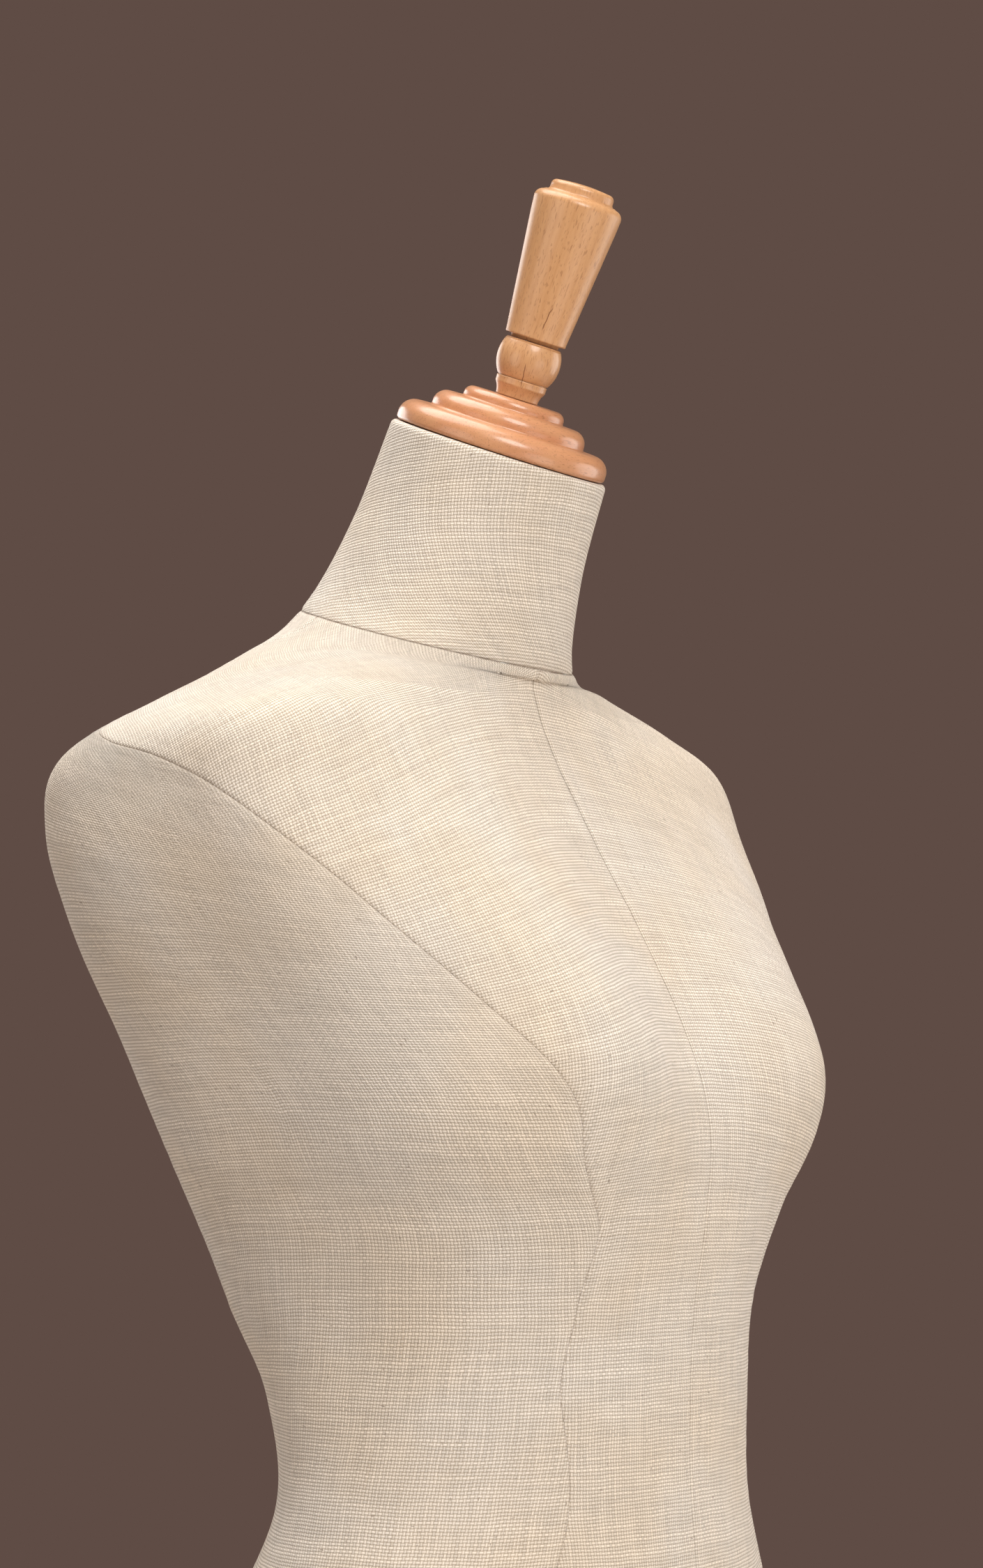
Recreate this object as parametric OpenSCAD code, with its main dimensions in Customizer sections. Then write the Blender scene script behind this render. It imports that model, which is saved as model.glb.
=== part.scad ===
// Linen-covered dress form on a height-adjustable wooden tripod.
// Millimetres, +Z up. The origin is on the floor under the pole; the form faces -Y.

/* [Form] */
// Height of the waist above the floor at rest
waist_height = 1030; // [1000:5:1060]
// Thickness of the linen cover
cover_thickness = 1; // [0.8:0.1:1.2]
// Thickness of the wadding under the cover
wadding_thickness = 4; // [3:0.5:5]
// Wall of the moulded shells
shell_wall = 3.5; // [3:0.5:4]
// Thickness of the plywood board that closes the bottom
board_thickness = 18; // [15:1:21]

/* [Neck cap and handle] */
// Diameter of the cap's lowest tier
cap_diameter = 101; // [98:1:104]
// Diameter of the ball under the handle
ball_diameter = 30; // [28:1:32]
// Small diameter of the tapered handle
handle_small_diameter = 29; // [27:1:31]
// Large diameter of the tapered handle
handle_large_diameter = 42; // [39:1:46]
// Length of the tapered handle up to its shoulder
handle_length = 67; // [61:1:73]

/* [Pole] */
// Diameter of the sliding steel pole
pole_diameter = 22; // [21:0.5:23]
// Radial running clearance of the pole in its guides
pole_clearance = 0.06; // [0.03:0.01:0.09]

/* [Stand] */
// Height of the top of the turned column
column_top = 560; // [550:5:570]
// Largest diameter of the turned column
column_diameter = 74; // [70:1:80]
// Thickness of the legs
leg_thickness = 26; // [22:1:28]
// Distance from the pole's axis to the middle of each foot
foot_reach = 290; // [270:2:300]
// Height of the rubber feet
foot_height = 7; // [6:1:10]
// Diameter of the clamp knob
knob_diameter = 38; // [34:1:44]

/* [Hidden] */
$fn = 64;
eps = 0.01;

linen = [0.90, 0.86, 0.77];
wadding = [0.94, 0.93, 0.90];
moulding = [0.80, 0.72, 0.56];
beech = [0.84, 0.64, 0.42];
plywood = [0.80, 0.68, 0.48];
steel = [0.66, 0.67, 0.69];
dark_steel = [0.32, 0.32, 0.34];
brass = [0.78, 0.63, 0.32];
rubber = [0.12, 0.12, 0.12];
nylon = [0.92, 0.92, 0.88];

// ---- Surface of the form ------------------------------------------------------------------------
// A body section is a rounded ellipse. Each row gives, from the hem up to the top of the neck:
// height from the waist, half width, depth in front, depth behind, y of the middle, forward tilt
// in degrees, roundness (2 is an ellipse, more is boxier), front seam and back seam in degrees
// (-90 is the centre front, -180 the side, -270 the centre back).
SECTIONS = [
    [-230, 164, 102, 108,  0,  0, 2.0, -125, -236], // hem
    [-170, 172, 107, 115,  0,  0, 2.0, -127, -236], // hip
    [-102, 157, 102, 101, -3,  0, 2.1, -128, -236], // upper hip
    [ -46, 130,  96,  83, -6,  0, 2.2, -128, -236], // below the waist
    [   0, 123,  98,  87, -4,  0, 2.4, -127, -235], // waist
    [  40, 125, 105, 104,  0,  0, 2.5, -123, -235], // lower ribs
    [  80, 139, 111, 113,  0,  0, 2.8, -117, -234], // ribs
    [ 116, 158, 110, 115,  0,  0, 3.2, -121, -232], // under the bust
    [ 167, 180,  99, 115,  9, -2, 3.4, -131, -230], // bust
    [ 215, 200,  87, 114, 19, -2, 3.7, -145, -228], // chest
    [ 256, 208,  74, 110, 27, -5, 3.8, -171, -226], // arm
    [ 287, 202,  63,  99, 30, -6, 4.0, -188, -227], // top of the arm
    [ 308, 161,  53,  79, 26, -1, 3.5, -203, -230], // shoulder
    [ 327, 107,  50,  76, 25,  6, 2.6, -205, -225], // slope of the shoulder
    [ 342,  70,  51,  72, 20, 17, 2.1, -202, -212], // foot of the neck
    [ 387,  55,  53,  57,  9, 20, 2.0, -200, -209], // neck
    [ 430,  52,  52,  52, -7, 22, 2.0, -200, -208]  // top of the neck
];
LAST = len(SECTIONS) - 1;
NECK = 14;
BUST_DEPTH = 27;
BUST_X = 93;
BUST_Z = 152;
BUST_WIDTH = 67;
BUST_RISE = 81;
BUST_FALL = 44;
BUST_SOFTEN = 20;

// Columns of the surface grid on one half: centre front, front seam, back seam, centre back.
PANEL = 8;
SIDE = 12;
HALF = 3 * PANEL;
BODY_ROWS = [for (i = [0 : 16]) i * 0.5, for (i = [1 : 15]) 8 + i * 0.4];
NECK_ROWS = [for (i = [0 : 4]) NECK + i * 0.5];
ALL_ROWS = concat(BODY_ROWS, [for (i = [1 : 4]) NECK_ROWS[i]]);

// The section at u between two rows, by the Catmull-Rom rule.
function section(u) =
    let (i = min(floor(u), LAST - 1), w = u - i,
         a = SECTIONS[max(i - 1, 0)], b = SECTIONS[i],
         c = SECTIONS[i + 1], d = SECTIONS[min(i + 2, LAST)])
    0.5 * (2 * b + (c - a) * w + (2 * a - 5 * b + 4 * c - d) * w * w
        + (3 * b - a - 3 * c + d) * w * w * w);

// How far the bust stands forward at a point across and up, on the front of the section.
function bust(x, z, front) =
    let (across = (sqrt(x * x + BUST_SOFTEN * BUST_SOFTEN) - BUST_X) / BUST_WIDTH,
         up = (z - BUST_Z) / (z > BUST_Z ? BUST_RISE : BUST_FALL))
    BUST_DEPTH * exp(-across * across - up * up) * max(front, 0);

function power(v, e) = sign(v) * pow(abs(v), e);

// A point of the outer surface, in section row s at angle t.
function skin(s, t) =
    let (e = 2 / s[6], x = s[1] * power(cos(t), e),
         d = (sin(t) < 0 ? s[2] : s[3]) * power(sin(t), e),
         z = s[0] + d * sin(s[5]))
    [x, s[4] + d * cos(s[5]) - bust(x, z, -sin(t)), z];

// Angle of grid column j (0 to HALF) in section row s.
function column_angle(s, j) =
    j < PANEL ? -90 + (s[7] + 90) * j / PANEL
    : j < 2 * PANEL ? s[7] + (s[8] - s[7]) * (j - PANEL) / PANEL
    : s[8] + (-270 - s[8]) * (j - 2 * PANEL) / PANEL;

function unit(v) = v / norm(v);

// The outward normal on one half. It lies in the section's plane at the hem and at the neck's top.
function normal(u, j) =
    let (s = section(u), t = column_angle(s, j), low = max(u - 0.05, 0), high = min(u + 0.05, LAST),
         along = skin(s, t - 0.5) - skin(s, t + 0.5),
         up = skin(section(high), t) - skin(section(low), t),
         n = unit(cross(up, along)),
         axis = [0, -sin(s[5]), cos(s[5])],
         flat = (u < eps || u > LAST - eps) ? n - axis * (n * axis) : n)
    unit((j == 0 || j == HALF) ? [0, flat[1], flat[2]] : flat);

// A point at depth d under the outer surface. Columns below 0 and past HALF lie on the other half.
function layer_point(u, j, d) =
    j < 0 ? mirror_x(layer_point(u, -j, d))
    : j > HALF ? mirror_x(layer_point(u, 2 * HALF - j, d))
    : let (s = section(u)) skin(s, column_angle(s, j)) - d * normal(u, j);

function mirror_x(p) = [-p[0], p[1], p[2]];

// A closed piece of skin between two depths, over a block of rows and columns.
module skin_piece(rows, first, last, outer, inner) {
    nj = last - first + 1;
    ni = len(rows);
    top_row = ni - 1;
    side_count = ni * nj;
    points = [for (d = [outer, inner]) for (u = rows) for (j = [first : last]) layer_point(u, j, d)];
    outside = [for (i = [0 : ni - 2]) for (j = [0 : nj - 2])
        each two(i * nj + j, i * nj + j + 1, (i + 1) * nj + j + 1, (i + 1) * nj + j)];
    inside = [for (f = outside) [for (k = [2 : -1 : 0]) f[k] + side_count]];
    rim_low = [for (j = [0 : nj - 2]) each two(j, j + side_count, j + 1 + side_count, j + 1)];
    rim_high = [for (j = [0 : nj - 2]) let (a = top_row * nj + j)
        each two(a, a + 1, a + 1 + side_count, a + side_count)];
    edge_first = [for (i = [0 : ni - 2]) let (a = i * nj)
        each two(a, a + nj, a + nj + side_count, a + side_count)];
    edge_last = [for (i = [0 : ni - 2]) let (a = i * nj + nj - 1)
        each two(a, a + side_count, a + nj + side_count, a + nj)];
    translate([0, 0, waist_height])
        polyhedron(points, concat(outside, inside, rim_low, rim_high, edge_first, edge_last));
}

function two(a, b, c, d) = [[a, b, c], [a, c, d]];

// ---- Layers -------------------------------------------------------------------------------------
layer_gap = 0.3;
wadding_depth = cover_thickness + layer_gap;
shell_depth = wadding_depth + wadding_thickness + layer_gap;
inner_depth = shell_depth + shell_wall;

module cover_panel(first, last) {
    color(linen)
        skin_piece(BODY_ROWS, first, last, 0, cover_thickness);
}

module cover_front_left() {
    cover_panel(0, PANEL);
}

module cover_front_right() {
    cover_panel(-PANEL, 0);
}

module cover_side_left() {
    cover_panel(PANEL, 2 * PANEL);
}

module cover_side_right() {
    cover_panel(-2 * PANEL, -PANEL);
}

module cover_back_left() {
    cover_panel(2 * PANEL, HALF);
}

module cover_back_right() {
    cover_panel(HALF, 4 * PANEL);
}

// The neck's cover is closed at the back by a hidden butt seam.
module neck_cover() {
    color(linen) {
        skin_piece(NECK_ROWS, -HALF, 0, 0, cover_thickness);
        skin_piece(NECK_ROWS, 0, HALF, 0, cover_thickness);
    }
}

module wadding_front() {
    color(wadding)
        skin_piece(ALL_ROWS, -SIDE, SIDE, wadding_depth, wadding_depth + wadding_thickness);
}

module wadding_back() {
    color(wadding)
        skin_piece(ALL_ROWS, SIDE, 2 * HALF - SIDE, wadding_depth, wadding_depth + wadding_thickness);
}

module shell_front() {
    color(moulding)
        skin_piece(ALL_ROWS, -SIDE, SIDE, shell_depth, inner_depth);
}

module shell_back() {
    color(moulding)
        skin_piece(ALL_ROWS, SIDE, 2 * HALF - SIDE, shell_depth, inner_depth);
}

// ---- Bottom of the form -------------------------------------------------------------------------
hem_z = waist_height + SECTIONS[0][0];
cloth_thickness = 1;
flange_thickness = 4;
flange_radius = 55;
flange_bolt_circle = 84;
flange_bolt_radius = 3;
socket_radius = 16;
socket_collar_radius = 19;
socket_drop = 26;
socket_rise = 48;
screw_head = 3;

function hem_outline(depth) = [for (j = [-HALF : HALF - 1]) let (p = layer_point(0, j, depth)) [p[0], p[1]]];

module at_bolt_circle() {
    for (a = [45 : 90 : 315])
        rotate([0, 0, a])
            translate([flange_bolt_circle / 2, 0, 0])
                children();
}

module underside_cloth() {
    color(linen)
        difference() {
            translate([0, 0, hem_z - cloth_thickness - 0.2])
                linear_extrude(cloth_thickness)
                    polygon(hem_outline(0.3));
            translate([0, 0, hem_z - 10])
                cylinder(r = socket_radius + 0.5, h = 20);
            at_bolt_circle()
                translate([0, 0, hem_z - 10])
                    cylinder(r = flange_bolt_radius + 0.3, h = 20);
        }
}

module base_board() {
    color(plywood)
        difference() {
            translate([0, 0, hem_z])
                linear_extrude(board_thickness)
                    polygon(hem_outline(inner_depth + 0.6));
            translate([0, 0, hem_z - 1])
                cylinder(r = socket_radius + 0.5, h = board_thickness + 2);
            at_bolt_circle()
                translate([0, 0, hem_z - 1])
                    cylinder(r = flange_bolt_radius + 0.3, h = board_thickness + 2);
        }
}

board_screw_columns = [-20, -12, -4, 4, 12, 20];
board_screw_length = 16;

// Screws go through the shells' bottom edges, square to the board's edge.
module board_screws() {
    color(steel)
        for (j = board_screw_columns)
            let (start = layer_point(0, j, shell_depth + 0.1), end = layer_point(0, j, shell_depth + 10))
                translate([start[0], start[1], hem_z + board_thickness / 2])
                    rotate([0, 0, atan2(end[1] - start[1], end[0] - start[0])])
                        rotate([0, 90, 0])
                            cylinder(r = 1.6, h = board_screw_length);
}

flange_top = hem_z - cloth_thickness - 0.4;
retaining_z = flange_top - 17;
retaining_radius = 3;
groove_radius = pole_diameter / 2 - 1.8;
groove_width = 8;

module socket_flange() {
    top = flange_top;
    bore = pole_diameter / 2 + pole_clearance;
    color(steel)
        difference() {
            rotate_extrude()
                polygon([
                    [0, hem_z + socket_rise], [0, hem_z + socket_rise - 6], [bore, hem_z + socket_rise - 6],
                    [bore, top - socket_drop], [socket_collar_radius - 1, top - socket_drop],
                    [socket_collar_radius, top - socket_drop + 1], [socket_collar_radius, top - flange_thickness],
                    [flange_radius, top - flange_thickness], [flange_radius, top],
                    [socket_radius, top], [socket_radius, hem_z + socket_rise]
                ]);
            at_bolt_circle()
                translate([0, 0, top - 10])
                    cylinder(r = flange_bolt_radius + 0.2, h = 20);
            translate([0, 0, retaining_z])
                rotate([-90, 0, 0])
                    cylinder(r = retaining_radius + 0.05, h = 40);
        }
}

module flange_bolts() {
    color(steel)
        at_bolt_circle() {
            translate([0, 0, flange_top - flange_thickness - 0.05])
                cylinder(r = flange_bolt_radius, h = board_thickness + flange_thickness + 9);
            translate([0, 0, flange_top - flange_thickness - 0.05 - screw_head])
                cylinder(r1 = 4.6, r2 = 5.5, h = screw_head);
        }
}

module flange_nuts() {
    color(steel)
        at_bolt_circle()
            translate([0, 0, hem_z + board_thickness + 0.05])
                difference() {
                    cylinder(r = 5.7, h = 5, $fn = 6);
                    translate([0, 0, -1])
                        cylinder(r = flange_bolt_radius + 0.02, h = 7, $fn = 48);
                }
}

module thrust_disc() {
    color(nylon)
        translate([0, 0, hem_z + socket_rise - 6 - 3.05])
            cylinder(r = pole_diameter / 2 - 0.4, h = 3);
}

// The screw's tip runs in the pole's groove, so the form turns but can't be lifted off.
module retaining_screw() {
    color(dark_steel)
        difference() {
            translate([0, groove_radius + 0.4, retaining_z])
                rotate([-90, 0, 0])
                    cylinder(r = retaining_radius, h = 11);
            translate([0, groove_radius + 8.4, retaining_z])
                rotate([-90, 0, 0])
                    cylinder(r = 1.6, h = 10, $fn = 6);
        }
}

// ---- Neck, cap and handle -----------------------------------------------------------------------
TOP = SECTIONS[LAST];
shadow_gap = 1.5;
plug_radius = TOP[1] - inner_depth - 1;
plug_height = 24;
TIER = [[cap_diameter / 2, 11], [cap_diameter * 0.364, 8.5], [cap_diameter * 0.24, 5.5]];
cap_height = TIER[0][1] + TIER[1][1] + TIER[2][1];
stud_radius = 4;
stem_height = 9;
collar_height = 3;
ball_height = 18;
joint_gap = 0.2;

// Places its children with z = 0 on the neck's top plane and +Z along the neck's axis.
module on_neck() {
    translate([0, TOP[4], waist_height + TOP[0]])
        rotate([TOP[5], 0, 0])
            children();
}

// Points of an arc in the r-z plane.
function arc(r, z, radius, from, to, steps = 8) =
    [for (i = [0 : steps]) let (a = from + (to - from) * i / steps) [r + radius * cos(a), z + radius * sin(a)]];

module turned(profile) {
    rotate_extrude()
        polygon(profile);
}

module neck_plug() {
    color(plywood)
        on_neck()
            difference() {
                translate([0, 0, -plug_height])
                    cylinder(r = plug_radius, h = plug_height + shadow_gap - 0.05);
                translate([0, 0, -plug_height - 1])
                    cylinder(r = stud_radius + 0.05, h = plug_height + 4);
            }
}

// Screws from the shells' neck edge into the plug.
module plug_screws() {
    color(steel)
        on_neck()
            for (a = [30 : 120 : 270])
                rotate([0, 0, a])
                    translate([TOP[1] - shell_depth - 0.2, 0, -plug_height / 2])
                        rotate([0, -90, 0])
                            cylinder(r = 1.5, h = 15);
}

module neck_cap() {
    r0 = TIER[0][0];
    r1 = TIER[1][0];
    r2 = TIER[2][0];
    z1 = shadow_gap + TIER[0][1];
    z2 = z1 + TIER[1][1];
    z3 = z2 + TIER[2][1];
    color(beech)
        on_neck()
            difference() {
                turned(concat(
                    [[0, shadow_gap], [r0 - 2, shadow_gap]],
                    arc(r0 - 2, shadow_gap + 2, 2, -90, 0, 3),
                    arc(r0 - 7.5, z1 - 7.5, 7.5, 0, 90, 8),
                    [[r1 + 1.2, z1], [r1, z1 + 1.2]],
                    arc(r1 - 6.5, z2 - 6.5, 6.5, 0, 90, 8),
                    [[r2 + 1, z2], [r2, z2 + 1]],
                    arc(r2 - 4, z3 - 4, 4, 0, 90, 6),
                    [[0, z3]]));
                cylinder(r = stud_radius + 0.05, h = 60);
            }
}

cap_top = shadow_gap + cap_height;
ball_bottom = cap_top + stem_height;
ball_top = ball_bottom + ball_height;
ball_flat = ball_diameter * 0.43;

module finial_ball() {
    stem_r = ball_diameter * 0.335;
    collar_r = ball_diameter * 0.4;
    ball_r = ball_diameter / 2;
    middle = ball_bottom + ball_height * 0.55;
    color(beech)
        on_neck()
            difference() {
                turned(concat(
                    [[0, cap_top + joint_gap], [stem_r, cap_top + joint_gap]],
                    [for (i = [1 : 6]) [stem_r + (collar_r - stem_r) * pow(i / 6, 2),
                        cap_top + (stem_height - collar_height) * i / 6]],
                    [[collar_r, ball_bottom - 1.5], [collar_r - 0.8, ball_bottom]],
                    [for (i = [1 : 11]) let (z = ball_bottom + ball_height * i / 12, k = (z - middle) / ball_height)
                        [ball_r * sqrt(1 - 1.25 * k * k), z]],
                    [[ball_flat, ball_top], [0, ball_top]]));
                cylinder(r = stud_radius + 0.05, h = 100);
            }
}

handle_bottom = ball_top + joint_gap;
handle_shoulder = handle_bottom + handle_length;
handle_button = 8;

module finial_handle() {
    small = handle_small_diameter / 2;
    large = handle_large_diameter / 2;
    button = large * 0.72;
    color(beech)
        on_neck()
            difference() {
                turned(concat(
                    [[0, handle_bottom], [small - 3, handle_bottom], [small - 3, handle_bottom + 1.5],
                     [small - 0.6, handle_bottom + 1.5], [small, handle_bottom + 2.2]],
                    arc(large - 4, handle_shoulder - 2, 4, 0, 80, 6),
                    [[button + 1.6, handle_shoulder + 2.6], [button, handle_shoulder + 4]],
                    arc(button - 2.5, handle_shoulder + handle_button - 3, 2.5, 0, 70, 5),
                    [[button * 0.6, handle_shoulder + handle_button], [0, handle_shoulder + handle_button + 0.5]]));
                translate([0, 0, handle_bottom - 1])
                    cylinder(r = stud_radius + 0.05, h = 41);
            }
}

module finial_stud() {
    color(steel)
        on_neck()
            translate([0, 0, -plug_height - 12])
                cylinder(r = stud_radius, h = plug_height + 12 + handle_bottom + 38);
}

module stud_washer() {
    color(steel)
        on_neck()
            translate([0, 0, -plug_height - 2.1])
                difference() {
                    cylinder(r = 13, h = 2);
                    translate([0, 0, -1])
                        cylinder(r = stud_radius + 0.2, h = 4);
                }
}

module stud_nut() {
    color(steel)
        on_neck()
            translate([0, 0, -plug_height - 8.7])
                difference() {
                    cylinder(r = 7.5, h = 6.5, $fn = 6);
                    translate([0, 0, -1])
                        cylinder(r = stud_radius + 0.02, h = 9, $fn = 48);
                }
}

// ---- Pole ---------------------------------------------------------------------------------------
pole_top = hem_z + socket_rise - 6 - 3.4;
pole_length = 560;
pole_bottom = pole_top - pole_length;
pole_wall = 3;

module pole() {
    r = pole_diameter / 2;
    color(steel)
        difference() {
            translate([0, 0, pole_bottom])
                cylinder(r = r, h = pole_length);
            translate([0, 0, pole_bottom - 1])
                cylinder(r = r - pole_wall, h = pole_length + 2);
            translate([0, 0, retaining_z - groove_width / 2])
                difference() {
                    cylinder(r = r + 2, h = groove_width);
                    translate([0, 0, -1])
                        cylinder(r = groove_radius, h = groove_width + 2);
                }
        }
}

module pole_end_plug() {
    color(rubber)
        translate([0, 0, pole_bottom - 2.05])
            union() {
                cylinder(r = pole_diameter / 2 - 0.4, h = 2);
                translate([0, 0, 2])
                    cylinder(r = pole_diameter / 2 - pole_wall - 0.05, h = 14);
            }
}

// ---- Column and its guides ----------------------------------------------------------------------
column_bottom = 104;
hub_radius = column_diameter * 0.43;
hub_top = 222;
sleeve_bottom = 150;
sleeve_inner = pole_diameter / 2 + 1;
sleeve_outer = sleeve_inner + 2;
bush_height = 40;
belly = column_diameter / 2;
waist_radius = column_diameter * 0.3;
LEG_ANGLES = [-90, 30, 150];
dowel_radius = 5;
DOWEL_HEIGHTS = [146, 186];
dowel_start = 19;
dowel_length = 41;

// The holes for the legs' dowels, or the dowels themselves when grow is 0.
module leg_dowel_rods(grow) {
    for (a = LEG_ANGLES)
        for (z = DOWEL_HEIGHTS)
            rotate([0, 0, a])
                translate([dowel_start - grow, 0, z])
                    rotate([0, 90, 0])
                        cylinder(r = dowel_radius + grow, h = dowel_length + 2 * grow);
}

module column() {
    neck = waist_radius;
    vase_z = hub_top + 42;
    vase_height = 150;
    upper_z = vase_z + vase_height + 6;
    flare = column_top - 18 - upper_z - 24;
    color(beech)
        difference() {
            turned(concat(
                [[0, column_bottom], [hub_radius - 8, column_bottom], [hub_radius - 2, column_bottom + 5],
                 [hub_radius, column_bottom + 12], [hub_radius, hub_top - 8], [hub_radius - 3, hub_top - 2],
                 [neck + 2, hub_top + 2], [neck + 2, hub_top + 7]],
                arc(neck + 1, hub_top + 20, 9, -75, 75, 8),
                [[neck, hub_top + 31], [neck, hub_top + 36]],
                [for (i = [0 : 12]) let (k = i / 12)
                    [neck + 1.5 + (belly - neck - 1.5) * sin(180 * pow(k, 0.62)), vase_z + vase_height * k]],
                [[neck, upper_z], [neck, upper_z + 5]],
                arc(neck + 1, upper_z + 14, 8, -75, 75, 8),
                [for (i = [0 : 6]) let (k = i / 6) [neck + 4 * k * k, upper_z + 24 + flare * k]],
                [[neck + 7.5, column_top - 14]],
                arc(neck + 6, column_top - 8, 5, -60, 60, 6),
                [[neck + 8.8, column_top - 3], [neck + 8.8, column_top], [0, column_top]]));
            translate([0, 0, sleeve_bottom])
                cylinder(r = sleeve_outer + 0.03, h = column_top);
            leg_dowel_rods(0.03);
            translate([0, 0, column_bottom - 1])
                cylinder(r = 6.03, h = 33);
        }
}

module leg_dowels() {
    color(plywood)
        leg_dowel_rods(0);
}

module sleeve_tube() {
    color(dark_steel)
        difference() {
            translate([0, 0, sleeve_bottom + 0.1])
                cylinder(r = sleeve_outer, h = column_top - sleeve_bottom - 0.2);
            translate([0, 0, sleeve_bottom - 1])
                cylinder(r = sleeve_inner, h = column_top);
        }
}

// Nylon guide in the top of the sleeve.
module guide_bush() {
    color(nylon)
        difference() {
            translate([0, 0, column_top - bush_height])
                cylinder(r = sleeve_inner - 0.02, h = bush_height - 0.1);
            translate([0, 0, column_top - bush_height - 1])
                cylinder(r = pole_diameter / 2 + pole_clearance, h = bush_height + 10);
        }
}

module bottom_button() {
    color(beech)
        turned(concat(
            [[0, column_bottom - 40]],
            arc(0, column_bottom - 26, 14, -70, 60, 10),
            [[7, column_bottom - 11], [12, column_bottom - 8], [20, column_bottom - 6], [21, column_bottom - 4],
             [20, column_bottom - 0.1], [6, column_bottom - 0.1], [6, column_bottom + 30], [0, column_bottom + 30]]));
}

// ---- Clamp --------------------------------------------------------------------------------------
collar_height_above = 44;
collar_top = column_top + collar_height_above;
clamp_z = column_top + 25;
collar_radius = 18;
collar_flange = 29;
collar_screw_circle = 49;
pad_radius = 5;
pad_length = 4;
pad_start = pole_diameter / 2 + 0.3;
shank_radius = 4;
boss_radius = 10;
boss_end = 32;

module clamp_collar() {
    foot = column_top + 0.05;
    color(brass)
        difference() {
            union() {
                turned(concat(
                    [[0, foot], [collar_flange, foot], [collar_flange, foot + 2.4], [collar_flange - 0.6, foot + 3],
                     [collar_radius + 2.5, foot + 3], [collar_radius, foot + 6], [collar_radius, collar_top - 3]],
                    arc(collar_radius - 3, collar_top - 3, 3, 0, 90, 5),
                    [[0, collar_top]]));
                translate([0, 0, clamp_z])
                    rotate([-90, 0, 0])
                        cylinder(r = boss_radius, h = boss_end);
            }
            translate([0, 0, column_top - 1])
                cylinder(r = pole_diameter / 2 + pole_clearance, h = 60);
            translate([0, 0, clamp_z])
                rotate([-90, 0, 0])
                    cylinder(r = pad_radius + 0.4, h = pad_start + pad_length + 4);
            translate([0, 0, clamp_z])
                rotate([-90, 0, 0])
                    cylinder(r = shank_radius + 0.06, h = boss_end + 5);
            for (a = [45 : 90 : 315])
                rotate([0, 0, a])
                    translate([collar_screw_circle / 2, 0, column_top - 1])
                        cylinder(r = 1.8, h = 10);
        }
}

module collar_screws() {
    color(brass)
        for (a = [45 : 90 : 315])
            rotate([0, 0, a])
                translate([collar_screw_circle / 2, 0, column_top]) {
                    translate([0, 0, -12])
                        cylinder(r = 1.6, h = 15.2);
                    translate([0, 0, 3.15])
                        cylinder(r1 = 3, r2 = 2, h = 1.5);
                }
}

module pressure_pad() {
    color(brass)
        translate([0, pad_start, clamp_z])
            rotate([-90, 0, 0])
                cylinder(r = pad_radius, h = pad_length);
}

module clamp_screw() {
    color(steel)
        translate([0, pad_start + pad_length + 0.3, clamp_z])
            rotate([-90, 0, 0])
                cylinder(r = shank_radius, h = 40);
}

module clamp_knob() {
    r = knob_diameter / 2;
    color(beech)
        translate([0, boss_end + 4, clamp_z])
            rotate([-90, 0, 0])
                difference() {
                    turned(concat(
                        [[0, 0], [9, 0], [10, 1.5], [8.5, 5]],
                        arc(r - 9, 14, 9, -60, 75, 12),
                        [[0, 24.5]]));
                    translate([0, 0, -1])
                        cylinder(r = shank_radius + 0.03, h = 21);
                }
}

// ---- Legs ---------------------------------------------------------------------------------------
leg_start = hub_radius + 0.05;
leg_low = 126;
leg_high = 206;
toe_z = 18;
foot_radius = 9.5;

// Middle line of a leg: a cubic curve in the r-z plane, from the hub (k = 0) to the toe (k = 1).
function leg_point(k) =
    let (a = [leg_start, 166], b = [120, 196], c = [150, 32], d = [foot_reach, toe_z], q = 1 - k)
    q * q * q * a + 3 * q * q * k * b + 3 * q * k * k * c + k * k * k * d;

function leg_depth(k) = 74 - 120 * k + 76 * k * k;

function leg_side(k, side) =
    let (g = unit(leg_point(min(k + 0.01, 1)) - leg_point(max(k - 0.01, 0))))
    leg_point(k) + side * leg_depth(k) / 2 * [-g[1], g[0]];

// A leg's outline: straight at the hub, curved along both sides, round at the toe.
module leg_outline() {
    steps = 20;
    toe = leg_point(1);
    polygon(concat(
        [[leg_start - 6, leg_low], [leg_start - 6, leg_high]],
        [for (i = [1 : steps]) leg_side(i / steps, 1)],
        [for (a = [75 : -15 : -75]) toe + leg_depth(1) / 2 * [cos(a), sin(a)]],
        [for (i = [steps : -1 : 1]) leg_side(i / steps, -1)]));
}

module leg(angle) {
    color(beech)
        difference() {
            rotate([0, 0, angle])
                rotate([90, 0, 0])
                    translate([0, 0, -leg_thickness / 2])
                        linear_extrude(leg_thickness)
                            leg_outline();
            cylinder(r = leg_start, h = 400);
            translate([-400, -400, foot_height + 0.05 - 100])
                cube([800, 800, 100]);
            leg_dowel_rods(0.03);
        }
}

module leg_front() {
    leg(LEG_ANGLES[0]);
}

module leg_right() {
    leg(LEG_ANGLES[1]);
}

module leg_left() {
    leg(LEG_ANGLES[2]);
}

// A rubber foot, slightly wider at the floor.
module foot(angle) {
    color(rubber)
        rotate([0, 0, angle])
            translate([foot_reach, 0, 0])
                cylinder(r1 = foot_radius, r2 = foot_radius - 1, h = foot_height);
}

module foot_front() {
    foot(LEG_ANGLES[0]);
}

module foot_right() {
    foot(LEG_ANGLES[1]);
}

module foot_left() {
    foot(LEG_ANGLES[2]);
}

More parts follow.
